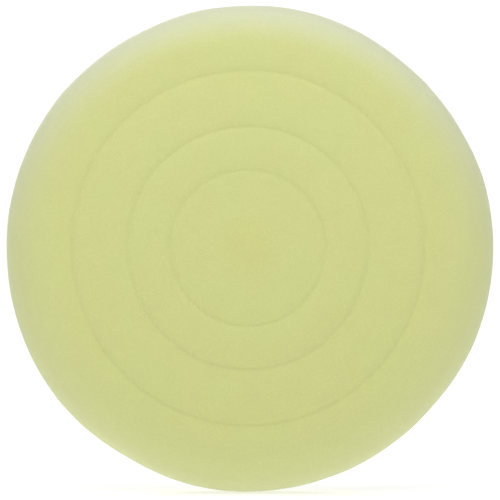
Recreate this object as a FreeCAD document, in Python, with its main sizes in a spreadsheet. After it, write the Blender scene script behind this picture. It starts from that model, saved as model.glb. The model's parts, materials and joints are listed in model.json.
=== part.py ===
import FreeCAD, Part
import math
import os
import Sketcher

# Foam polishing pad for a rotary car polisher, in millimetres.
#
# The pad spins about the Y axis. Its working face looks towards -Y and its back towards +Y.
# The origin is the centre of the loop tips, where the hooks of a backing plate take hold, so
# y = 0 is the plane that the plate seats on. The foam lip behind it rings the plate's edge.
#
#   y = lip_height                        back of the lip
#   y = 0                                 loop tips
#   y = -pile_height                      knitted ground cloth starts
#   y = -pile_height - ground_thickness   glue film starts
#   y = lip_height - pad_thickness        crests of the working face

NAME = "polishing_pad"

DIMENSIONS = {
    "pad_diameter": 203.0,  # the foam at its widest: the 8 inch size
    "pad_thickness": 32.0,  # crest of the working face to back of the lip
    "shoulder_radius": 18.0,  # the big rounding from face to rim
    "back_edge_radius": 7.0,  # rounding from rim to lip
    "rim_width": 1.5,  # least straight foam between those two roundings
    "lip_height": 6.0,  # lip above the loop tips
    "inner_ring_diameter": 64.5,
    "middle_ring_diameter": 99.7,
    "outer_ring_diameter": 145.8,
    "crease_half_width": 2.0,  # ring groove, root to where its side meets the land
    "crease_depth": 0.4,  # ring groove, from the edge of the land to its root
    "land_crown": 0.6,  # how much the foam between two rings bulges
    "band_width": 2.0,  # least foam between the outer ring and the shoulder
    "loop_diameter": 152.0,  # loop cloth, cut for a 6 inch backing plate
    "recess_clearance": 4.0,  # plate's edge to the recess wall
    "film_margin": 1.5,  # glue film past the edge of the cloth
    "pile_height": 1.4,
    "ground_thickness": 0.6,
    "film_thickness": 0.3,
    "bore_diameter": 22.0,  # clears the plate's centre nut
    "bore_depth": 14.0,  # loop tips to the bottom of the blind bore
    "mouth_radius": 2.0,  # rounding of the lip into the recess
    "root_radius": 1.5,  # rounding where the recess wall meets its floor
}

doc = FreeCAD.newDocument(NAME)


# ---- the sheet of sizes ------------------------------------------------------------------

sheet = doc.addObject("Spreadsheet::Sheet", "Sizes")
for row, (alias, size) in enumerate(DIMENSIONS.items(), start=1):
    sheet.set(f"A{row}", alias)
    sheet.set(f"B{row}", str(size))
    sheet.setAlias(f"B{row}", alias)
doc.recompute()


def size_of(expression):
    """The number that an expression on the sheet stands for now."""
    return float(sheet.evalExpression(expression))


# Sizes that follow from the sheet, kept as expressions so that the document stays bound to it.
PAD_RADIUS = "(Sizes.pad_diameter / 2)"
LIP = "Sizes.lip_height"
FACE = "(Sizes.lip_height - Sizes.pad_thickness)"
LAND_EDGE = f"({FACE} + Sizes.land_crown)"
CREASE_ROOT = f"({LAND_EDGE} + Sizes.crease_depth)"
GROUND_FRONT = "(Sizes.pile_height + Sizes.ground_thickness)"
RECESS_DEPTH = f"({GROUND_FRONT} + Sizes.film_thickness)"
RECESS_RADIUS = "(Sizes.loop_diameter / 2 + Sizes.recess_clearance)"
RECESS_WALL = f"({PAD_RADIUS} - {RECESS_RADIUS})"
RING_RADII = [
    "(Sizes.inner_ring_diameter / 2)",
    "(Sizes.middle_ring_diameter / 2)",
    "(Sizes.outer_ring_diameter / 2)",
]
BAND_START = f"({RING_RADII[-1]} + Sizes.crease_half_width)"

# A rounding never takes more than its share of the foam that it is cut from.
BACK_EDGE = f"min(Sizes.back_edge_radius; {RECESS_WALL} * 0.6)"
MOUTH = f"min(Sizes.mouth_radius; {RECESS_WALL} * 0.3)"
SHOULDER = (
    f"min(Sizes.shoulder_radius; {PAD_RADIUS} - {BAND_START} - Sizes.band_width;"
    f" Sizes.pad_thickness - {BACK_EDGE} - Sizes.rim_width)"
)


# ---- drawing helpers ---------------------------------------------------------------------


def new_body(name):
    body = doc.addObject("PartDesign::Body", name)
    body.Label = name
    body.Placement = FreeCAD.Placement()
    return body


def new_sketch(body, name, role, depth="0"):
    """A sketch on one of the body's own origin planes, moved along the plane's normal."""
    sketch = body.newObject("Sketcher::SketchObject", name)
    plane = next(item for item in body.Origin.OriginFeatures if item.Role == role)
    sketch.AttachmentSupport = [(plane, "")]
    sketch.MapMode = "FlatFace"
    sketch.setExpression("AttachmentOffset.Base.z", depth)
    doc.recompute()
    return sketch


def hold(sketch, kind, expression, *places):
    """Adds a constraint and binds its size to the sheet."""
    index = sketch.addConstraint(Sketcher.Constraint(kind, *places, size_of(expression)))
    sketch.setExpression(f"Constraints[{index}]", expression)


def edge_between(start, end, radius):
    """A line, or an arc that turns anticlockwise when a radius is given."""
    if not radius:
        return Part.LineSegment(start, end)
    chord = end - start
    middle = (start + end) * 0.5
    rise = math.sqrt(max(radius**2 - (chord.Length / 2) ** 2, 0.0))
    left = FreeCAD.Vector(-chord.y, chord.x, 0).normalize()
    centre = middle + left * rise
    circle = Part.Circle(centre, FreeCAD.Vector(0, 0, 1), radius)
    start_angle = math.atan2(start.y - centre.y, start.x - centre.x)
    end_angle = math.atan2(end.y - centre.y, end.x - centre.x)
    return Part.ArcOfCircle(circle, start_angle, end_angle)


def draw_outline(sketch, corners):
    """A closed outline through corners of (x, y) or (x, y, radius of the arc that ends there)."""
    points = [FreeCAD.Vector(size_of(c[0]), size_of(c[1]), 0) for c in corners]
    count = len(corners)
    for index in range(count):
        following = (index + 1) % count
        bend = corners[following][2:]
        radius = size_of(bend[0]) if bend else 0.0
        sketch.addGeometry(edge_between(points[index], points[following], radius), False)
    for index in range(count):
        following = (index + 1) % count
        joint = Sketcher.Constraint("Coincident", index, 2, following, 1)
        sketch.addConstraint(joint)
        hold(sketch, "DistanceX", corners[index][0], -1, 1, index, 1)
        hold(sketch, "DistanceY", corners[index][1], -1, 1, index, 1)
        bend = corners[following][2:]
        if bend:
            hold(sketch, "Radius", bend[0], index)
    doc.recompute()


def draw_circles(sketch, *radii):
    """Circles about the spin axis."""
    for index, radius in enumerate(radii):
        circle = Part.Circle(FreeCAD.Vector(), FreeCAD.Vector(0, 0, 1), size_of(radius))
        sketch.addGeometry(circle, False)
        sketch.addConstraint(Sketcher.Constraint("Coincident", index, 3, -1, 1))
        hold(sketch, "Radius", radius, index)
    doc.recompute()


def turn(body, kind, name, sketch):
    """Turns a sketch about the spin axis: a PartDesign Revolution adds, a Groove cuts."""
    feature = body.newObject(f"PartDesign::{kind}", name)
    feature.Profile = sketch
    feature.ReferenceAxis = (sketch, ["V_Axis"])
    feature.Angle = 360.0
    doc.recompute()
    return feature


def round_circle(body, name, radius, height, rounding):
    """Fillets the circular edge of the body at a radius and a height along the spin axis."""
    base = body.Tip
    for number, edge in enumerate(base.Shape.Edges, start=1):
        if edge.Degenerated or not isinstance(edge.Curve, Part.Circle):
            continue
        same_radius = abs(edge.Curve.Radius - size_of(radius)) < 1e-4
        same_height = abs(edge.Curve.Center.y - size_of(height)) < 1e-4
        if same_radius and same_height:
            fillet = body.newObject("PartDesign::Fillet", name)
            fillet.Base = (base, [f"Edge{number}"])
            fillet.setExpression("Radius", rounding)
            doc.recompute()
            return fillet
    raise ValueError(f"no edge to round for {name}")


# ---- foam body ---------------------------------------------------------------------------


def arc_over(half_chord, rise):
    """Radius of an arc that is level at one end and drops by rise over half_chord."""
    return f"(({half_chord})^2 + ({rise})^2) / (2 * ({rise}))"


def land_radius(start, end):
    """Radius of the low arc that bulges by land_crown between two ring grooves."""
    return arc_over(f"({end} - {start}) / 2", "Sizes.land_crown")


def face_corners():
    """The working face from the spin axis to the shoulder: crowned lands between creases."""
    half = "Sizes.crease_half_width"
    lip_roll = arc_over(half, "Sizes.crease_depth")
    corners = [("0", FACE)]
    land_start = None
    for ring in RING_RADII:
        land_end = f"({ring} - {half})"
        if land_start is None:
            crown = arc_over(land_end, "Sizes.land_crown")
        else:
            crown = land_radius(land_start, land_end)
        corners.append((land_end, LAND_EDGE, crown))
        corners.append((ring, CREASE_ROOT, lip_roll))
        land_start = f"({ring} + {half})"
        corners.append((land_start, LAND_EDGE, lip_roll))
    crest = f"({PAD_RADIUS} - {SHOULDER})"
    band = arc_over(f"{crest} - {BAND_START}", "Sizes.land_crown")
    corners.append((crest, FACE, band))
    return corners


def make_foam_body():
    body = new_body("foam_body")
    outline = new_sketch(body, "foam_outline", "XY_Plane")
    corners = face_corners()
    corners.append((PAD_RADIUS, f"{FACE} + {SHOULDER}", SHOULDER))
    corners.append((PAD_RADIUS, f"{LIP} - {BACK_EDGE}"))
    corners.append((f"{PAD_RADIUS} - {BACK_EDGE}", LIP, BACK_EDGE))
    corners.append(("0", LIP))
    draw_outline(outline, corners)
    blank = turn(body, "Revolution", "foam_blank", outline)

    recess_outline = new_sketch(body, "recess_outline", "XY_Plane")
    floor = f"-{RECESS_DEPTH}"
    recess_corners = [("0", floor), (RECESS_RADIUS, floor), (RECESS_RADIUS, LIP), ("0", LIP)]
    draw_outline(recess_outline, recess_corners)
    recess = turn(body, "Groove", "plate_recess", recess_outline)

    bore_outline = new_sketch(body, "bore_outline", "XZ_Plane")
    draw_circles(bore_outline, "Sizes.bore_diameter / 2")
    bore = body.newObject("PartDesign::Pocket", "centring_bore")
    bore.Profile = bore_outline
    bore.Reversed = True
    bore.setExpression("Length", "Sizes.bore_depth")
    doc.recompute()

    recess_volume = math.pi * size_of(f"{RECESS_RADIUS}^2 * ({RECESS_DEPTH} + {LIP})")
    well_depth = f"(Sizes.bore_depth - {RECESS_DEPTH})"
    bore_volume = math.pi * size_of(f"Sizes.bore_diameter^2 / 4 * {well_depth}")
    check_cut("plate_recess", blank, recess, recess_volume)
    check_cut("centring_bore", recess, bore, bore_volume)

    round_circle(body, "recess_mouth", RECESS_RADIUS, LIP, MOUTH)
    round_circle(body, "recess_root", RECESS_RADIUS, floor, "Sizes.root_radius")
    return body


def check_cut(name, before, after, expected):
    """A cut that points away from the foam would take nothing, so its volume is compared."""
    removed = before.Shape.Volume - after.Shape.Volume
    if abs(removed - expected) > 0.001 * expected:
        raise ValueError(f"{name} removed {removed:.0f} cubic mm, not {expected:.0f}")


# ---- loop backing ------------------------------------------------------------------------


def make_backing_layer(name, radius, depth, thickness):
    """A flat ring of the backing about the bore, from a depth below the loop tips."""
    body = new_body(name)
    outline = new_sketch(body, f"{name}_outline", "XZ_Plane", depth)
    draw_circles(outline, radius, "Sizes.bore_diameter / 2")
    layer = body.newObject("PartDesign::Pad", f"{name}_layer")
    layer.Profile = outline
    layer.setExpression("Length", thickness)
    doc.recompute()
    return body


def make_loop_backing():
    """Loop pile on its knitted ground cloth, and the glue film that bonds it to the foam."""
    cloth_radius = "Sizes.loop_diameter / 2"
    film_radius = f"{cloth_radius} + Sizes.film_margin"
    pile_height = "Sizes.pile_height"
    return [
        make_backing_layer("loop_pile", cloth_radius, "0", pile_height),
        make_backing_layer("loop_ground", cloth_radius, pile_height, "Sizes.ground_thickness"),
        make_backing_layer("glue_film", film_radius, GROUND_FRONT, "Sizes.film_thickness"),
    ]


# ---- build, test and write ---------------------------------------------------------------


def check_document(bodies):
    for item in doc.Objects:
        if "Invalid" in item.State or "Error" in item.State:
            raise ValueError(f"{item.Label} failed: {item.State}")
    for body in bodies:
        shape = body.Shape
        if shape.isNull() or not shape.isValid() or len(shape.Solids) != 1:
            raise ValueError(f"{body.Label} is not one valid solid")


def write_parts(bodies):
    os.makedirs("parts", exist_ok=True)
    for body in bodies:
        body.Shape.exportStep(f"parts/{body.Label}.step")
        box = body.Shape.BoundBox
        low = f"{box.XMin:.1f} {box.YMin:.1f} {box.ZMin:.1f}"
        high = f"{box.XMax:.1f} {box.YMax:.1f} {box.ZMax:.1f}"
        print(f"{body.Label}: {body.Shape.Volume / 1000:.1f} cm3, {low} to {high}")


bodies = [make_foam_body(), *make_loop_backing()]
doc.recompute()
check_document(bodies)
write_parts(bodies)
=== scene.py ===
# %% [markdown]
# # A foam polishing pad
# This pad spins on a car polisher. Its soft face carries the polish, and its back is a disc of
# loop cloth that grips the hooks of a backing plate. It is four pieces bonded together: the
# foam, a glue film, a knitted ground cloth and the yarn loops that stand on the cloth.
# The CAD frame fixes every size. The cells below give each piece its real surface.

# %% Load the frame
import json
import math

import bpy
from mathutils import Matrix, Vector


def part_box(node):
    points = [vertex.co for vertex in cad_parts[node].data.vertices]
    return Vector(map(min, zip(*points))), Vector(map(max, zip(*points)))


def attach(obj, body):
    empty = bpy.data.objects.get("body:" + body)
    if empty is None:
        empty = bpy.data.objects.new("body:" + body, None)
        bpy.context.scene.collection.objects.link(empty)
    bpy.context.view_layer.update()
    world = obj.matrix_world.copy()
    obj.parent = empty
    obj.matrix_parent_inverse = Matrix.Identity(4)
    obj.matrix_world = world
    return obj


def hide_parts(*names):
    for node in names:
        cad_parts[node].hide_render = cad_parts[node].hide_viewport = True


MM = 0.001

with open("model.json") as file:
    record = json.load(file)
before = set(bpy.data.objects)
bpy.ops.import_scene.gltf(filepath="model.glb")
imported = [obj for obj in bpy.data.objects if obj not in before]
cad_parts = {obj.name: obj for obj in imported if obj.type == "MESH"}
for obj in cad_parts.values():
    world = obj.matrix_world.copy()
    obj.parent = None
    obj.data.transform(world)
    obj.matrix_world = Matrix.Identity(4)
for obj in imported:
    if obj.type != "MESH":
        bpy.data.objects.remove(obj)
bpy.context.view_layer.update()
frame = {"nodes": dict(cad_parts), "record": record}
print("frame:", sorted(frame["nodes"]))

# %% [markdown]
# ## Measure before modelling
# Every CAD solid here is turned about the Y axis, so each corner of its mesh is fully told by
# two numbers: its radius and its place along Y. Reading those off the frame gives the pad's
# sizes with no second list to keep in step. The alternative, typing the sizes in again, would
# break as soon as the CAD changes.


# %% A turned solid as radius and height
def turned_corners(node):
    """Each corner of a CAD node as (radius, y)."""
    mesh = frame["nodes"][node].data
    return [(math.hypot(v.co.x, v.co.z), v.co.y) for v in mesh.vertices]


def radii_between(corners, low, high):
    """The radii of the corners whose y lies between low and high, smallest first."""
    return sorted(r for r, y in corners if low <= y <= high)


# %% Sizes of the foam
HAIR = 0.02 * MM  # closer than this counts as touching

foam_corners = turned_corners("foam_body")
foam_low, foam_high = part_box("foam_body")
pad_radius = foam_high.x
face_y = foam_low.y
lip_y = foam_high.y

crest_radius = radii_between(foam_corners, face_y, face_y + HAIR)[-1]
shoulder_radius = pad_radius - crest_radius
lip_radii = radii_between(foam_corners, lip_y - HAIR, lip_y)
back_edge_radius = pad_radius - lip_radii[-1]
recess_radius = radii_between(foam_corners, 0, lip_y)[0]
mouth_radius = lip_radii[0] - recess_radius

print(f"foam {2000 * pad_radius:.0f} mm across, shoulder {1000 * shoulder_radius:.1f} mm")
print(f"recess {2000 * recess_radius:.0f} mm across, mouth rounded {1000 * mouth_radius:.1f} mm")

# %% The three ring grooves
FACE_LAYER = 4 * MM  # deeper than any groove in the face

front = [c for c in foam_corners if c[0] < crest_radius - MM and c[1] < face_y + FACE_LAYER]
root_y = max(y for r, y in front)
ring_radii = []
for radius in radii_between(front, root_y - HAIR, root_y):
    if not ring_radii or radius - ring_radii[-1] > MM:
        ring_radii.append(radius)

print("ring grooves at", [f"{1000 * r:.1f} mm" for r in ring_radii])

# %% Sizes of the backing
film_low, film_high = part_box("glue_film")
ground_low, ground_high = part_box("loop_ground")
pile_low, pile_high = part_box("loop_pile")
mounts = {m["name"]: m for m in frame["record"]["mounts"]}
bore_radius = mounts["centring_bore"]["dims"]["r_mm"] * MM
bore_bottom = -mounts["centring_bore"]["dims"]["length_mm"] * MM
floor_y = film_low.y
cloth_radius = pile_high.x

print(f"loop cloth {2000 * cloth_radius:.0f} mm across, bore {2000 * bore_radius:.0f} mm")

# %% [markdown]
# ## Small tools
# Node trees are wired by hand in the editor, but in a script one helper can make a node, set
# it and link it in a single call. A value that is itself a socket becomes a link.


# %% Wire a node in one call
def add(tree, kind, inputs=None, **settings):
    """Adds a node. inputs maps a socket's name or number to a value or to another socket."""
    node = tree.nodes.new(kind)
    for name, value in settings.items():
        setattr(node, name, value)
    for key, value in (inputs or {}).items():
        if isinstance(value, bpy.types.NodeSocket):
            tree.links.new(value, node.inputs[key])
        else:
            node.inputs[key].default_value = value
    return node


def maths(tree, operation, first, second=0.0, third=0.0):
    """A Math node's result."""
    values = {0: first, 1: second, 2: third}
    return add(tree, "ShaderNodeMath", values, operation=operation).outputs[0]


def vector_maths(tree, operation, first, second=(0, 0, 0)):
    """A Vector Math node's result as a vector."""
    node = add(tree, "ShaderNodeVectorMath", {0: first, 1: second}, operation=operation)
    return node.outputs["Vector"]


def scaled(tree, vector, factor):
    """A vector or a colour times a number."""
    inputs = {0: vector, "Scale": factor}
    return add(tree, "ShaderNodeVectorMath", inputs, operation="SCALE").outputs["Vector"]


def length_of(tree, vector):
    """How long a vector is."""
    return add(tree, "ShaderNodeVectorMath", {0: vector}, operation="LENGTH").outputs["Value"]


def whole_maths(tree, operation, first, second):
    """An Integer Math node's result."""
    node = add(tree, "FunctionNodeIntegerMath", {0: first, 1: second}, operation=operation)
    return node.outputs[0]


# %% Start a Geometry Nodes tree
def geometry_tree(name, sizes):
    """A tree that takes geometry and the named sizes, and gives geometry."""
    tree = bpy.data.node_groups.new(name, "GeometryNodeTree")
    tree.interface.new_socket("Geometry", in_out="INPUT", socket_type="NodeSocketGeometry")
    for size, kind in sizes.items():
        tree.interface.new_socket(size, in_out="INPUT", socket_type=f"NodeSocket{kind}")
    tree.interface.new_socket("Geometry", in_out="OUTPUT", socket_type="NodeSocketGeometry")
    return tree, tree.nodes.new("NodeGroupInput").outputs


def end_tree(tree, geometry, material):
    """Realizes what was made, gives it its material and hands it out."""
    real = add(tree, "GeometryNodeRealizeInstances", {"Geometry": geometry})
    smooth = add(tree, "GeometryNodeSetShadeSmooth", {"Geometry": real.outputs[0]})
    inputs = {"Geometry": smooth.outputs[0], "Material": material}
    painted = add(tree, "GeometryNodeSetMaterial", inputs)
    add(tree, "NodeGroupOutput", {"Geometry": painted.outputs[0]})


# %% Run a tree and keep the result as a plain mesh
def grow(name, start_mesh, tree, values):
    """Runs a tree on a mesh and returns a plain mesh object with no modifier on it."""
    seed_object = bpy.data.objects.new(f"{name}_start", start_mesh)
    bpy.context.scene.collection.objects.link(seed_object)
    modifier = seed_object.modifiers.new(name, "NODES")
    modifier.node_group = tree
    for item in tree.interface.items_tree:
        if item.in_out == "INPUT" and item.name in values:
            modifier[item.identifier] = values[item.name]
    evaluated = seed_object.evaluated_get(bpy.context.evaluated_depsgraph_get())
    mesh = bpy.data.meshes.new_from_object(evaluated)
    bpy.data.objects.remove(seed_object)
    mesh.name = name
    piece = bpy.data.objects.new(name, mesh)
    bpy.context.scene.collection.objects.link(piece)
    mesh.calc_loop_triangles()
    print(f"{name}: {len(mesh.vertices)} corners, {len(mesh.loop_triangles)} triangles")
    return piece


def chain_mesh(name, points):
    """A string of corners joined by edges, in the XY plane: x is a radius, y runs along Y."""
    mesh = bpy.data.meshes.new(name)
    edges = [(i, i + 1) for i in range(len(points) - 1)]
    mesh.from_pydata([(x, y, 0.0) for x, y in points], edges, [])
    return mesh


# %% [markdown]
# ## Turn a profile on a lathe
# The foam, the film and the cloth are all turned shapes, so one Geometry Nodes tree makes all
# three. It lays a flat grid with one column for each step round the axis, looks up each corner's
# radius and height on the profile, and wraps the grid round Y. A Screw modifier could do that
# much, but real foam is never perfectly round, and a tree can also push the surface in and out
# with noise while it turns it.


# %% The lathe tree
WELD = 0.01 * MM  # corners closer than this become one, at the axis and along the seam


def lathe_tree():
    sizes = {
        "Steps": "Int",
        "Out of round": "Float",
        "Out of round size": "Float",
        "Ripple": "Float",
        "Ripple size": "Float",
        "Seed": "Float",
        "Material": "Material",
    }
    tree, given = geometry_tree("lathe", sizes)
    profile = given["Geometry"]
    steps = given["Steps"]

    count = add(tree, "GeometryNodeAttributeDomainSize", {"Geometry": profile})
    columns = whole_maths(tree, "ADD", steps, 1)
    rows = count.outputs["Point Count"]
    grid_sizes = {"Vertices X": columns, "Vertices Y": rows}
    grid = add(tree, "GeometryNodeMeshGrid", grid_sizes).outputs["Mesh"]

    index = add(tree, "GeometryNodeInputIndex").outputs[0]
    column = whole_maths(tree, "DIVIDE_FLOOR", index, rows)
    row = whole_maths(tree, "MODULO", index, rows)
    place = add(tree, "GeometryNodeInputPosition").outputs[0]
    wanted = {"Geometry": profile, "Value": place, "Index": row}
    kind = {"data_type": "FLOAT_VECTOR", "domain": "POINT"}
    on_profile = add(tree, "GeometryNodeSampleIndex", wanted, **kind).outputs["Value"]
    parts = add(tree, "ShaderNodeSeparateXYZ", {0: on_profile}).outputs

    turn = maths(tree, "DIVIDE", column, steps)
    angle = maths(tree, "MULTIPLY", turn, math.tau)
    across = maths(tree, "MULTIPLY", parts["X"], maths(tree, "COSINE", angle))
    up = maths(tree, "MULTIPLY", parts["X"], maths(tree, "SINE", angle))
    wrapped = add(tree, "ShaderNodeCombineXYZ", {0: across, 1: parts["Y"], 2: up}).outputs[0]
    turned = add(tree, "GeometryNodeSetPosition", {"Geometry": grid, "Position": wrapped})
    seam = {"Geometry": turned.outputs[0], "Distance": WELD}
    joined = add(tree, "GeometryNodeMergeByDistance", seam)
    closed = add(tree, "GeometryNodeFlipFaces", {"Mesh": joined.outputs[0]})  # outwards

    def noise(size):
        scale = maths(tree, "DIVIDE", 1.0, size)
        where = {"Vector": place, "W": given["Seed"], "Scale": scale, "Detail": 1.0}
        value = add(tree, "ShaderNodeTexNoise", where, noise_dimensions="4D").outputs[0]
        return maths(tree, "MULTIPLY_ADD", value, 2.0, -1.0)

    flat = vector_maths(tree, "MULTIPLY", place, (1, 0, 1))
    sideways = maths(tree, "MULTIPLY", noise(given["Out of round size"]), given["Out of round"])
    share = maths(tree, "DIVIDE", sideways, pad_radius)
    bent = {"Geometry": closed.outputs[0], "Offset": scaled(tree, flat, share)}
    uneven = add(tree, "GeometryNodeSetPosition", bent)

    facing = add(tree, "GeometryNodeInputNormal").outputs[0]
    rise = maths(tree, "MULTIPLY", noise(given["Ripple size"]), given["Ripple"])
    rippled = {"Geometry": uneven.outputs[0], "Offset": scaled(tree, facing, rise)}
    made = add(tree, "GeometryNodeSetPosition", rippled)
    end_tree(tree, made.outputs[0], given["Material"])
    return tree


lathe = lathe_tree()
print("lathe tree:", len(lathe.nodes), "nodes")

# %% [markdown]
# ## The foam's profile
# Seen from the side, half the pad is one line. It starts in the middle of the working face,
# crosses three ring grooves, rolls over the big shoulder, comes round the back of the lip and
# drops into the recess and the blind bore. Foam between two grooves swells a little, so the
# lands are low crowns and each groove is a soft crease, which a formula of the radius gives.

# %% How deep the face lies behind its crests
LAND_CROWN = 0.6 * MM
CREASE_HALF_WIDTH = 2.0 * MM
ROOT_SOFTNESS = 0.5 * MM
CREASE_DEPTH = root_y - face_y - LAND_CROWN


def crown_drop(radius):
    """The swell of the land that a radius is on: nothing at its middle, full at its edges."""
    edges = [-ring_radii[0], *ring_radii]
    for start, end in zip(edges, ring_radii):
        if radius <= end:
            return LAND_CROWN * (2 * (radius - start) / (end - start) - 1) ** 2
    share = (radius - ring_radii[-1]) / (crest_radius - ring_radii[-1])
    return LAND_CROWN * (1 - share) ** 2


def crease_drop(radius):
    """The groove nearest to a radius, with sides that roll in and a soft root."""
    away = min(abs(radius - ring) for ring in ring_radii)
    away = math.hypot(away, ROOT_SOFTNESS) - ROOT_SOFTNESS
    return CREASE_DEPTH * max(0.0, 1 - away / CREASE_HALF_WIDTH) ** 2


# %% Where the profile needs its corners
LAND_STEP = 2.0 * MM
CREASE_STEP = 0.3 * MM
CREASE_STEPS = 9


def face_points():
    """Corners from the axis to the crest, close together at the creases."""
    radii = [i * LAND_STEP for i in range(int(crest_radius / LAND_STEP))]
    reach = (CREASE_STEPS + 2) * CREASE_STEP
    radii = [r for r in radii if min(abs(r - ring) for ring in ring_radii) > reach]
    for ring in ring_radii:
        radii += [ring + i * CREASE_STEP for i in range(-CREASE_STEPS, CREASE_STEPS + 1)]
    return [(r, face_y + crown_drop(r) + crease_drop(r)) for r in sorted(radii)]


def arc_points(centre, radius, start, end, steps):
    """Corners along an arc from one angle to another, in degrees from outwards to +Y."""
    angles = [math.radians(start + (end - start) * i / steps) for i in range(steps + 1)]
    return [(centre[0] + radius * math.cos(a), centre[1] + radius * math.sin(a)) for a in angles]


def line_points(start, end, steps):
    """Corners along a straight line, both ends left out."""
    shares = [i / steps for i in range(1, steps)]
    run, rise = end[0] - start[0], end[1] - start[1]
    return [(start[0] + run * s, start[1] + rise * s) for s in shares]


# %% The whole profile, from the middle of the face to the bottom of the bore
ROOT_RADIUS = 1.5 * MM
shoulder = arc_points((crest_radius, face_y + shoulder_radius), shoulder_radius, -90, 0, 30)
back_centre = (pad_radius - back_edge_radius, lip_y - back_edge_radius)
back_edge = arc_points(back_centre, back_edge_radius, 0, 90, 10)
mouth_centre = (recess_radius + mouth_radius, lip_y - mouth_radius)
mouth = arc_points(mouth_centre, mouth_radius, 90, 180, 5)
root_centre = (recess_radius - ROOT_RADIUS, floor_y + ROOT_RADIUS)
root = arc_points(root_centre, ROOT_RADIUS, 0, -90, 5)
bore = [(bore_radius, floor_y), (bore_radius, bore_bottom)]

foam_profile = face_points() + shoulder
foam_profile += line_points(shoulder[-1], back_edge[0], 3) + back_edge
foam_profile += line_points(back_edge[-1], mouth[0], 6) + mouth
foam_profile += line_points(mouth[-1], root[0], 4) + root
foam_profile += line_points(root[-1], bore[0], 12) + bore[:1]
foam_profile += line_points(bore[0], bore[1], 8) + bore[1:]
foam_profile += line_points(bore[1], (0, bore_bottom), 5) + [(0, bore_bottom)]
print("the foam's profile has", len(foam_profile), "corners")

# %% [markdown]
# ## Materials
# Foam, cloth and yarn all vary a little in colour from place to place. That mottling is one
# shader group that each material sets for itself. Masks with soft edges say where on the pad a
# colour or a shade begins.


# %% Smooth steps
def rising(tree, value, start, end):
    """0 below start, 1 above end, and a smooth step between."""
    limits = {"Value": value, "From Min": start, "From Max": end}
    return add(tree, "ShaderNodeMapRange", limits, interpolation_type="SMOOTHSTEP").outputs[0]


def falling(tree, value, start, end):
    """1 below start, 0 above end, and a smooth step between."""
    limits = {"Value": value, "From Min": start, "From Max": end, "To Min": 1.0, "To Max": 0.0}
    return add(tree, "ShaderNodeMapRange", limits, interpolation_type="SMOOTHSTEP").outputs[0]


# %% A mottling group
def shader_group(name, inputs, outputs):
    """A shader group with named sockets, and what it is given."""
    group = bpy.data.node_groups.new(name, "ShaderNodeTree")
    for socket, kind in inputs.items():
        group.interface.new_socket(socket, in_out="INPUT", socket_type=f"NodeSocket{kind}")
    for socket, kind in outputs.items():
        group.interface.new_socket(socket, in_out="OUTPUT", socket_type=f"NodeSocket{kind}")
    return group, group.nodes.new("NodeGroupInput").outputs


def mottle_group():
    """A colour made a little lighter and darker in soft blotches."""
    inputs = {"Vector": "Vector", "Size": "Float", "Amount": "Float", "Color": "Color"}
    group, given = shader_group("mottle", inputs, {"Color": "Color"})
    scale = maths(group, "DIVIDE", 1.0, given["Size"])
    where = {"Vector": given["Vector"], "Scale": scale, "Detail": 3.0}
    blotch = add(group, "ShaderNodeTexNoise", where).outputs[0]
    swing = maths(group, "MULTIPLY_ADD", blotch, 2.0, -1.0)
    factor = maths(group, "MULTIPLY_ADD", swing, given["Amount"], 1.0)
    add(group, "NodeGroupOutput", {"Color": scaled(group, given["Color"], factor)})
    return group


mottle = mottle_group()


# %% An open-cell group
STRUT_SHARE = 0.22  # how far a strut reaches into its cell, in cell sizes


def cells_group():
    """Open cells: 1 on the struts between them and 0 inside."""
    inputs = {"Vector": "Vector", "Size": "Float"}
    group, given = shader_group("cells", inputs, {"Strut": "Float"})
    scale = maths(group, "DIVIDE", 1.0, given["Size"])
    where = {"Vector": given["Vector"], "Scale": scale}
    away = add(group, "ShaderNodeTexVoronoi", where, feature="DISTANCE_TO_EDGE").outputs[0]
    add(group, "NodeGroupOutput", {"Strut": falling(group, away, 0.0, STRUT_SHARE)})
    return group


cells = cells_group()
print("shader groups:", mottle.name, cells.name)


# %% Start a material
def new_material(name, look):
    """A material whose Principled shader has plain values set on its own sockets."""
    material = bpy.data.materials.new(name)
    material.use_nodes = True
    tree = material.node_tree
    tree.nodes.clear()
    shader = tree.nodes.new("ShaderNodeBsdfPrincipled")
    add(tree, "ShaderNodeOutputMaterial", {"Surface": shader.outputs[0]})
    for socket, value in look.items():
        shader.inputs[socket].default_value = value
    place = tree.nodes.new("ShaderNodeTexCoord").outputs["Object"]
    return material, tree, shader, place


def use_group(tree, group, inputs):
    """Puts a shader group in a tree and gives its outputs."""
    return add(tree, "ShaderNodeGroup", inputs, node_tree=group).outputs


def add_bump(tree, shader, height, strength, distance):
    """Small relief that is too fine for the mesh."""
    inputs = {"Height": height, "Strength": strength, "Distance": distance}
    bump = add(tree, "ShaderNodeBump", inputs)
    tree.links.new(bump.outputs[0], shader.inputs["Normal"])


# %% Blend two colours by a mask
def blend(tree, mask, first, second):
    """The first colour where the mask is 0, the second where it is 1."""
    mix = {0: mask, 6: first, 7: second}
    return add(tree, "ShaderNodeMix", mix, data_type="RGBA").outputs[2]


def radius_mask(tree, place, start, end):
    """A mask that rises from 0 at one radius to 1 at another."""
    flat = vector_maths(tree, "MULTIPLY", place, (1, 0, 1))
    return rising(tree, length_of(tree, flat), start, end)


def crease_mask(tree, place, half_width):
    """A mask that is 1 at the root of each ring groove and 0 beyond a half width."""
    away = length_of(tree, vector_maths(tree, "MULTIPLY", place, (1, 0, 1)))
    nearest = 1.0
    for ring in ring_radii:
        gap = maths(tree, "ABSOLUTE", maths(tree, "SUBTRACT", away, ring))
        nearest = maths(tree, "MINIMUM", gap, nearest)
    return falling(tree, nearest, 0.0, half_width)


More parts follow.
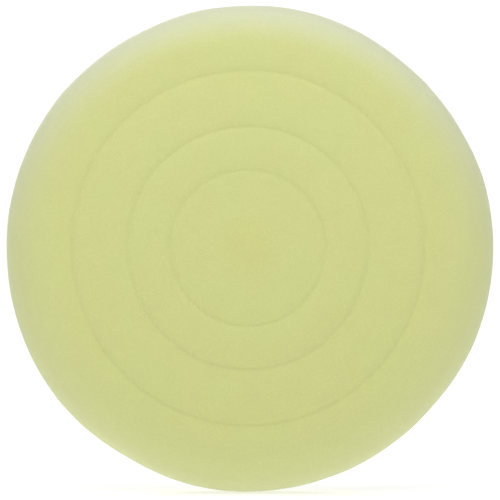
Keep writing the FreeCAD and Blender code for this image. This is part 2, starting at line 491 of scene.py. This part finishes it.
# %% [markdown]
# ## The foam's finish
# Polishing foam is a mass of open cells, each about half a millimetre across. It is matte, and
# its cut cell walls catch the light at a glancing angle as fuzz does, which Sheen gives. The
# cells come from a Voronoi pattern worked out from each point's place, because an image wrapped
# round the pad would stretch over the shoulder. Masks by radius set the colour over the bore,
# paint a paler sheen at the rim and paint shade into the creases, and one by height paints a
# pale highlight on the upper shoulder, as if lit from above.

# %% Foam colour
MIDDLE_COLOUR = (0.558, 0.572, 0.206, 1)
FACE_COLOUR = (0.547, 0.582, 0.218, 1)
WARM_COLOUR = (0.561, 0.576, 0.218, 1)
# painted sheen: a paler, whiter foam colour towards the rim
PAINTED_RIM_SHEEN_COLOUR = (0.551, 0.580, 0.245, 1)
PAINTED_HIGHLIGHT_COLOUR = (0.590, 0.615, 0.400, 1)  # painted highlight: the upper shoulder made paler, as light from above falls on it
PATCH_SIZE = 30 * MM  # patches that are greener or warmer
BLOTCH_SIZE = 9 * MM
BLOTCH_SWING = 0.02
HIGHLIGHT_START, HIGHLIGHT_END = 0.83, 0.985  # shares of the pad's radius
WALL_START, WALL_END = 0.7, 1.2  # shares of the shoulder's radius, back from the face


def painted_highlight_mask(tree, place):
    """Where the pale highlight is painted: high on the shoulder, and not on the straight wall
    behind it.
    """
    at_edge = radius_mask(tree, place, HIGHLIGHT_START * pad_radius, HIGHLIGHT_END * pad_radius)
    parts = add(tree, "ShaderNodeSeparateXYZ", {0: place}).outputs
    height = {"Value": parts["Z"], "From Max": pad_radius}
    upper = add(tree, "ShaderNodeMapRange", height).outputs[0]
    start = face_y + WALL_START * shoulder_radius
    end = face_y + WALL_END * shoulder_radius
    depth = {"Value": parts["Y"], "From Min": start, "From Max": end, "To Min": 1.0, "To Max": 0.0}
    in_front = add(tree, "ShaderNodeMapRange", depth).outputs[0]
    return maths(tree, "MULTIPLY", at_edge, maths(tree, "MULTIPLY", upper, in_front))


def foam_colour(tree, place):
    """Foam colour by place, with painted rim sheen and top highlight, before cells and creases
    shade it.
    """
    patch_look = {"Vector": place, "Scale": 1 / PATCH_SIZE}
    patches = add(tree, "ShaderNodeTexNoise", patch_look).outputs[0]
    warm = add(tree, "ShaderNodeMapRange", {"Value": patches, "From Min": 0.4, "From Max": 0.6})
    face = blend(tree, warm.outputs[0], FACE_COLOUR, WARM_COLOUR)
    over_bore = radius_mask(tree, place, 0.7 * bore_radius, 1.6 * bore_radius)
    face = blend(tree, over_bore, MIDDLE_COLOUR, face)
    # painted sheen: towards the rim the foam colour is made paler and whiter, as glancing light
    # shows it
    rim_sheen = radius_mask(tree, place, ring_radii[-1], pad_radius)
    face = blend(tree, rim_sheen, face, PAINTED_RIM_SHEEN_COLOUR)
    # painted highlight: high on the upper shoulder the colour is made paler, as if lit from above
    face = blend(tree, painted_highlight_mask(tree, place), face, PAINTED_HIGHLIGHT_COLOUR)
    blotches = {"Vector": place, "Size": BLOTCH_SIZE, "Amount": BLOTCH_SWING, "Color": face}
    return use_group(tree, mottle, blotches)["Color"]


# %% Foam
CELL_SIZE = 0.55 * MM
GRAIN_SIZE = 1.2 * MM
PIT_SHADE = 0.935  # colour inside a cell, as a share of the foam's own
STRUT_GAIN = 0.09  # how much lighter a strut is than the pit beside it
PAINTED_CREASE_SHADE = 0.013  # painted shade: the foam colour is made a little darker in each crease
SHADE_HALF_WIDTH = 1.5 * MM
STRUT_RELIEF = 0.5  # a strut's height against the grain's


def foam_material():
    look = {
        "Roughness": 0.9,
        "Sheen Weight": 0.4,
        "Sheen Roughness": 0.65,
        "Specular IOR Level": 0.2,
    }
    material, tree, shader, place = new_material("pad_foam", look)
    strut = use_group(tree, cells, {"Vector": place, "Size": CELL_SIZE})["Strut"]
    # painted shade: the foam colour is darkened at the root of each ring groove
    crease = crease_mask(tree, place, SHADE_HALF_WIDTH)
    shade = maths(tree, "MULTIPLY_ADD", crease, -PAINTED_CREASE_SHADE, PIT_SHADE)
    depth = maths(tree, "MULTIPLY_ADD", strut, STRUT_GAIN, shade)
    colour = scaled(tree, foam_colour(tree, place), depth)
    tree.links.new(colour, shader.inputs["Base Color"])
    grain_look = {"Vector": place, "Scale": 1 / GRAIN_SIZE, "Detail": 3.0}
    grain = add(tree, "ShaderNodeTexNoise", grain_look).outputs[0]
    height = maths(tree, "MULTIPLY_ADD", strut, STRUT_RELIEF, grain)
    add_bump(tree, shader, height, strength=0.35, distance=0.2 * MM)
    return material


foam_look = foam_material()
print("foam finish:", len(foam_look.node_tree.nodes), "nodes")

# %% [markdown]
# ## Turn the foam
# Soft foam never holds a true circle, so its rim strays from round by a millimetre or so and its
# skin ripples by a small part of that. Both come from noise with a fixed seed, so the same pad
# comes out each time.

# %% Foam body
foam_values = {
    "Steps": 512,
    "Out of round": 1.3 * MM,
    "Out of round size": 55 * MM,
    "Ripple": 0.15 * MM,
    "Ripple size": 10 * MM,
    "Seed": 1397.0,
    "Material": foam_look,
}
foam = grow("foam_pad", chain_mesh("foam_profile", foam_profile), lathe, foam_values)
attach(foam, "root")
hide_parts("foam_body")

# %% [markdown]
# ## The backing
# Behind the foam come three thin layers. Hot-melt film squeezes out a little round the edge of
# the cloth, so its rim is a thicker, uneven bead. The ground cloth is a flat knit. Both are
# closed rings about the bore, and the lathe turns them from a small closed outline.


# %% Closed outlines of thin rings
def ring_outline(inner, outer, low, high, bead=0.0):
    """A thin ring's section, closed on itself, with a rounded outer edge raised by a bead."""
    middle = (low + high + bead) / 2
    half = (high + bead - low) / 2
    edge = arc_points((outer - half, middle), half, -90, 90, 6)
    neck = (outer - 4 * half, high)
    inside = [(inner, high), (inner, low)]
    steps = line_points(inside[1], edge[0], 12)
    back_steps = line_points(neck, inside[0], 12)
    return [inside[1], *steps, *edge, neck, *back_steps, *inside]


# %% Glue film
GLUE_COLOUR = (0.70, 0.66, 0.42, 1)
GLUE_BEAD = 0.35 * MM  # how far the squeezed-out rim stands above the film
LUMP_SIZE = 2 * MM


def glue_material():
    look = {"Roughness": 0.35, "Coat Weight": 0.2, "Subsurface Weight": 0.2}
    material, tree, shader, place = new_material("hot_melt_glue", look)
    amber = {"Vector": place, "Size": 5 * MM, "Amount": 0.08, "Color": GLUE_COLOUR}
    colour = use_group(tree, mottle, amber)["Color"]
    tree.links.new(colour, shader.inputs["Base Color"])
    lumps = add(tree, "ShaderNodeTexNoise", {"Vector": place, "Scale": 1 / LUMP_SIZE}).outputs[0]
    add_bump(tree, shader, lumps, strength=0.5, distance=0.2 * MM)
    return material


film_outline = ring_outline(bore_radius, film_high.x, film_low.y, film_high.y, GLUE_BEAD)
film_values = {
    "Steps": 360,
    "Out of round": 0.8 * MM,
    "Out of round size": 5 * MM,
    "Ripple": 0.05 * MM,
    "Ripple size": 3 * MM,
    "Seed": 5.0,
    "Material": glue_material(),
}
film = grow("glue_squeeze", chain_mesh("film_outline", film_outline), lathe, film_values)
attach(film, "root")
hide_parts("glue_film")


# %% Ground cloth
def knit_group():
    """Rows of small V-shaped stitches, as a height from 0 to 1."""
    inputs = {"Vector": "Vector", "Pitch": "Float"}
    group, given = shader_group("knit", inputs, {"Height": "Float"})
    parts = add(group, "ShaderNodeSeparateXYZ", {0: given["Vector"]}).outputs
    turns = maths(group, "DIVIDE", math.tau, given["Pitch"])
    along = maths(group, "MULTIPLY", parts["X"], turns)
    across = maths(group, "MULTIPLY", parts["Z"], turns)
    slant = maths(group, "ABSOLUTE", maths(group, "SINE", maths(group, "MULTIPLY", along, 0.5)))
    stitch = maths(group, "SINE", maths(group, "MULTIPLY_ADD", slant, 2.5, across))
    wale = maths(group, "ABSOLUTE", maths(group, "SINE", along))
    height = maths(group, "MULTIPLY", maths(group, "MULTIPLY_ADD", stitch, 0.5, 0.5), wale)
    add(group, "NodeGroupOutput", {"Height": height})
    return group


knit = knit_group()

CLOTH_COLOUR = (0.80, 0.80, 0.76, 1)
STITCH_PITCH = 1.0 * MM
HOLLOW_SHADE = 0.6  # colour between two stitches, as a share of the yarn's own
STITCH_GAIN = 0.5  # how much lighter the crown of a stitch is


def cloth_material():
    look = {"Roughness": 0.85, "Sheen Weight": 0.2}
    material, tree, shader, place = new_material("ground_knit", look)
    dull = {"Vector": place, "Size": 6 * MM, "Amount": 0.05, "Color": CLOTH_COLOUR}
    colour = use_group(tree, mottle, dull)["Color"]
    stitch = use_group(tree, knit, {"Vector": place, "Pitch": STITCH_PITCH})["Height"]
    depth = maths(tree, "MULTIPLY_ADD", stitch, STITCH_GAIN, HOLLOW_SHADE)
    tree.links.new(scaled(tree, colour, depth), shader.inputs["Base Color"])
    add_bump(tree, shader, stitch, strength=0.6, distance=0.2 * MM)
    return material


cloth_outline = ring_outline(bore_radius, cloth_radius, ground_low.y, ground_high.y)
cloth_values = {
    "Steps": 360,
    "Out of round": 0.25 * MM,
    "Out of round size": 8 * MM,
    "Ripple": 0.06 * MM,
    "Ripple size": 6 * MM,
    "Seed": 7.0,
    "Material": cloth_material(),
}
cloth = grow("ground_cloth", chain_mesh("cloth_outline", cloth_outline), lathe, cloth_values)
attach(cloth, "root")
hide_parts("loop_ground")

# %% [markdown]
# ## Yarn loops
# The back grips because thousands of small yarn loops stand on the cloth in rows. One loop is
# a thin three-sided tube bent into an arch, with only a few dozen faces. A tree stands a copy
# on each crossing of a fine grid, and random turns, leans and sizes give the brushed look.
# A particle system could scatter them too, but it can't keep the rows that a knit has.

# %% One loop
YARN_RADIUS = 0.17 * MM
LOOP_WIDTH = 1.9 * MM
FOOT_SWELL = 0.7  # how wide a loop stands at its feet, as a share of its width
CROWN_SWELL = 0.5  # and what that share gains on the way up to the crown
LOOP_SEGMENTS = 7
SIDES = 3


def loop_mesh():
    """An arch of yarn in the XY plane, with its feet on y = 0 and sunk in the cloth."""
    height = pile_high.y - pile_low.y - YARN_RADIUS
    corners = []
    for i in range(LOOP_SEGMENTS + 1):
        t = math.pi * i / LOOP_SEGMENTS
        swell = FOOT_SWELL + CROWN_SWELL * math.sin(t)
        centre = Vector((LOOP_WIDTH / 2 * math.cos(t) * swell, height * math.sin(t), 0))
        out = Vector((math.cos(t), math.sin(t), 0))
        for side in range(SIDES):
            a = math.tau * side / SIDES
            offset = out * math.cos(a) + Vector((0, 0, math.sin(a)))
            corners.append(centre + offset * YARN_RADIUS)
    faces = []
    for i in range(LOOP_SEGMENTS):
        for side in range(SIDES):
            following = (side + 1) % SIDES
            first = i * SIDES
            near = (first + side, first + following)
            far = (first + SIDES + following, first + SIDES + side)
            faces.append((near + far)[::-1])
    faces.append(tuple(range(SIDES)))
    faces.append(tuple(LOOP_SEGMENTS * SIDES + side for side in reversed(range(SIDES))))
    mesh = bpy.data.meshes.new("loop")
    mesh.from_pydata(corners, [], faces)
    return mesh


# %% The pile tree
JITTER = 0.3  # how far a loop strays from its crossing, in pitches
TURN = 1.0  # radians either way, about the line it stands on
LEAN = 0.45  # radians either way, across the loop
TIP = 0.25  # radians either way, along the loop
SMALLEST, LARGEST = 0.8, 1.08  # shares of a full loop


def pile_tree():
    sizes = {
        "Pitch": "Float",
        "Outer": "Float",
        "Inner": "Float",
        "Height": "Float",
        "Bars": "Int",
        "Bar": "Int",
        "Seed": "Int",
        "Material": "Material",
    }
    tree, given = geometry_tree("pile", sizes)
    side = maths(tree, "MULTIPLY", given["Outer"], 2.0)
    count = maths(tree, "DIVIDE", side, given["Pitch"])
    grid_sizes = {"Size X": side, "Size Y": side, "Vertices X": count, "Vertices Y": count}
    grid = add(tree, "GeometryNodeMeshGrid", grid_sizes).outputs["Mesh"]

    place = add(tree, "GeometryNodeInputPosition").outputs[0]
    parts = add(tree, "ShaderNodeSeparateXYZ", {0: place}).outputs

    def random(low, high, step):
        seed = whole_maths(tree, "ADD", given["Seed"], step)
        node = add(tree, "FunctionNodeRandomValue", {2: low, 3: high, "Seed": seed})
        return node.outputs[1]

    jitter = maths(tree, "MULTIPLY", given["Pitch"], JITTER)
    x = maths(tree, "MULTIPLY_ADD", random(-1.0, 1.0, 1), jitter, parts["X"])
    z = maths(tree, "MULTIPLY_ADD", random(-1.0, 1.0, 2), jitter, parts["Y"])
    upright = add(tree, "ShaderNodeCombineXYZ", {0: x, 1: given["Height"], 2: z}).outputs[0]
    index = add(tree, "GeometryNodeInputIndex").outputs[0]
    moved = {"Geometry": grid, "Position": upright}
    spread = add(tree, "GeometryNodeSetPosition", moved).outputs[0]

    ground = vector_maths(tree, "MULTIPLY", place, (1, 0, 1))
    away = length_of(tree, ground)
    outside = maths(tree, "GREATER_THAN", away, given["Outer"])
    in_bore = maths(tree, "LESS_THAN", away, given["Inner"])
    bar = whole_maths(tree, "MODULO", index, given["Bars"])
    wrong = maths(tree, "ABSOLUTE", whole_maths(tree, "SUBTRACT", bar, given["Bar"]))
    unwanted = maths(tree, "ADD", maths(tree, "ADD", outside, in_bore), wrong)
    gone = maths(tree, "GREATER_THAN", unwanted, 0.5)
    kept = add(tree, "GeometryNodeDeleteGeometry", {"Geometry": spread, "Selection": gone})

    turn = random(-TURN, TURN, 3)
    lean = random(-LEAN, LEAN, 4)
    tip = random(-TIP, TIP, 5)
    heading = add(tree, "ShaderNodeCombineXYZ", {0: lean, 1: turn, 2: tip}).outputs[0]
    size = random(SMALLEST, LARGEST, 6)
    stand = {
        "Points": kept.outputs[0],
        "Instance": given["Geometry"],
        "Rotation": heading,
        "Scale": size,
    }
    loops = add(tree, "GeometryNodeInstanceOnPoints", stand)
    end_tree(tree, loops.outputs[0], given["Material"])
    return tree


# %% Yarn
YARN_COLOUR = (0.92, 0.92, 0.89, 1)
STRAND_SIZE = 0.2 * MM


def yarn_material():
    look = {"Roughness": 0.7, "Sheen Weight": 0.3, "Subsurface Weight": 0.1}
    material, tree, shader, place = new_material("loop_yarn", look)
    white = {"Vector": place, "Size": 4 * MM, "Amount": 0.06, "Color": YARN_COLOUR}
    colour = use_group(tree, mottle, white)["Color"]
    tree.links.new(colour, shader.inputs["Base Color"])
    strand_look = {"Vector": place, "Scale": 1 / STRAND_SIZE}
    strands = add(tree, "ShaderNodeTexNoise", strand_look).outputs[0]
    add_bump(tree, shader, strands, strength=0.3, distance=0.05 * MM)
    return material


yarn_look = yarn_material()

# %% Stand the loops in rows
BARS = 2  # the loops are kept as two pieces, one for each set of rows
LOOP_PITCH = 1.5 * MM
BARE_EDGE = 0.5 * MM  # cloth without loops along each cut edge
pile = pile_tree()
for bar in range(BARS):
    pile_values = {
        "Pitch": LOOP_PITCH,
        "Outer": cloth_radius - BARE_EDGE,
        "Inner": bore_radius + BARE_EDGE,
        "Height": pile_low.y,
        "Bars": BARS,
        "Bar": bar,
        "Seed": 11,
        "Material": yarn_look,
    }
    loops = grow(f"yarn_loops_{bar + 1}", loop_mesh(), pile, pile_values)
    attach(loops, "root")
    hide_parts("loop_pile")

# %% [markdown]
# ## Floor, light and camera
# The pad stands on a pale floor that glows a little, so that it meets a white wall with no line
# between them. It glows less round the pad, which leaves the pad a soft shadow.

# %% Floor
FLOOR_HALF = 3.0  # metres from the pad to each side of the floor
GLOW_ON_PAD = (0.73, 0.73, 0.73, 1)  # what the floor throws up on the pad
GLOW_NEAR = (0.58, 0.58, 0.58, 1)  # what is seen of it round the pad
GLOW_FAR = (0.85, 0.85, 0.85, 1)  # and farther off
NEAR, FAR = 0.15, 0.6  # the glow changes between these two distances


def floor_piece():
    half = FLOOR_HALF
    z = foam_low.z - 0.5 * MM
    mesh = bpy.data.meshes.new("floor")
    corners = [(-half, -half, z), (half, -half, z), (half, half, z), (-half, half, z)]
    mesh.from_pydata(corners, [], [(0, 1, 2, 3)])
    floor = bpy.data.objects.new("floor", mesh)
    bpy.context.scene.collection.objects.link(floor)
    look = {"Base Color": (0.5, 0.5, 0.5, 1), "Roughness": 0.9, "Emission Strength": 1.0}
    material, tree, shader, place = new_material("studio_floor", look)
    far = rising(tree, length_of(tree, place), NEAR, FAR)
    shown = blend(tree, far, GLOW_NEAR, GLOW_FAR)
    seen = add(tree, "ShaderNodeLightPath").outputs["Is Camera Ray"]
    glow = blend(tree, seen, GLOW_ON_PAD, shown)
    tree.links.new(glow, shader.inputs["Emission Color"])
    mesh.materials.append(material)
    return floor


floor_piece()

# %% The room
ROOM_LIGHT = 0.755
CEILING_LOSS = 0.7  # how much darker it is straight overhead than at the level of the floor
SEEN_WHITE = 1.05  # the wall itself, which shows as plain white

scene = bpy.context.scene
scene.view_settings.view_transform = "Standard"


def studio_world():
    world = bpy.data.worlds.new("studio")
    world.use_nodes = True
    tree = world.node_tree
    tree.nodes.clear()
    direction = add(tree, "ShaderNodeTexCoord").outputs["Generated"]
    height = add(tree, "ShaderNodeSeparateXYZ", {0: direction}).outputs["Z"]
    upward = maths(tree, "MAXIMUM", height, 0.0)
    room = maths(tree, "MULTIPLY_ADD", upward, -CEILING_LOSS * ROOM_LIGHT, ROOM_LIGHT)
    seen = add(tree, "ShaderNodeLightPath").outputs["Is Camera Ray"]
    strength = maths(tree, "MAXIMUM", room, maths(tree, "MULTIPLY", seen, SEEN_WHITE))
    sky = add(tree, "ShaderNodeBackground", {"Color": (1, 1, 1, 1), "Strength": strength})
    add(tree, "ShaderNodeOutputWorld", {"Surface": sky.outputs[0]})
    return world


scene.world = studio_world()
print(f"room light {ROOM_LIGHT}, with {CEILING_LOSS} of it lost straight overhead")


# %% Softboxes
def softbox(name, place, target, size, watts):
    lamp = bpy.data.lights.new(name, "AREA")
    lamp.shape = "RECTANGLE"
    lamp.size, lamp.size_y = size
    lamp.energy = watts
    lamp_object = bpy.data.objects.new(name, lamp)
    scene.collection.objects.link(lamp_object)
    lamp_object.location = place
    aim = Vector(target) - Vector(place)
    lamp_object.rotation_euler = aim.to_track_quat("-Z", "Y").to_euler()


PAD = (0, 0, 0)
softbox("front_softbox", (0.0, -0.38, 0.36), PAD, (0.6, 0.2), 1.15)
softbox("top_softbox", (0.0, -0.1, 0.6), PAD, (0.8, 0.1), 1.3)
softbox("back_softbox", (-0.2, 0.6, 0.3), PAD, (0.3, 0.2), 2.0)

# %% Camera
LENS = 180.0
SENSOR = 36.0
AIM_AZIMUTH, AIM_ELEVATION = 1.8, -1.0  # degrees off square to the face
FRAME_SHARE = 0.9670  # the rim's share of the frame's width
camera = bpy.data.objects.new("camera", bpy.data.cameras.new("camera"))
scene.collection.objects.link(camera)
camera.data.lens = LENS
camera.data.sensor_width = SENSOR
camera.data.shift_x = 0.0015
camera.data.shift_y = -0.0035
azimuth = math.radians(AIM_AZIMUTH)
elevation = math.radians(AIM_ELEVATION)
rim_centre = Vector((0, (face_y + shoulder_radius + lip_y - back_edge_radius) / 2, 0))
distance = 2 * pad_radius * LENS / (FRAME_SHARE * SENSOR)
back = Vector((
    math.sin(azimuth) * math.cos(elevation),
    -math.cos(azimuth) * math.cos(elevation),
    math.sin(elevation),
))
camera.location = rim_centre + back * distance
camera.rotation_euler = (-back).to_track_quat("-Z", "Y").to_euler()
camera.data.clip_end = 20
scene.camera = camera
print(f"camera {distance:.2f} m from the rim")
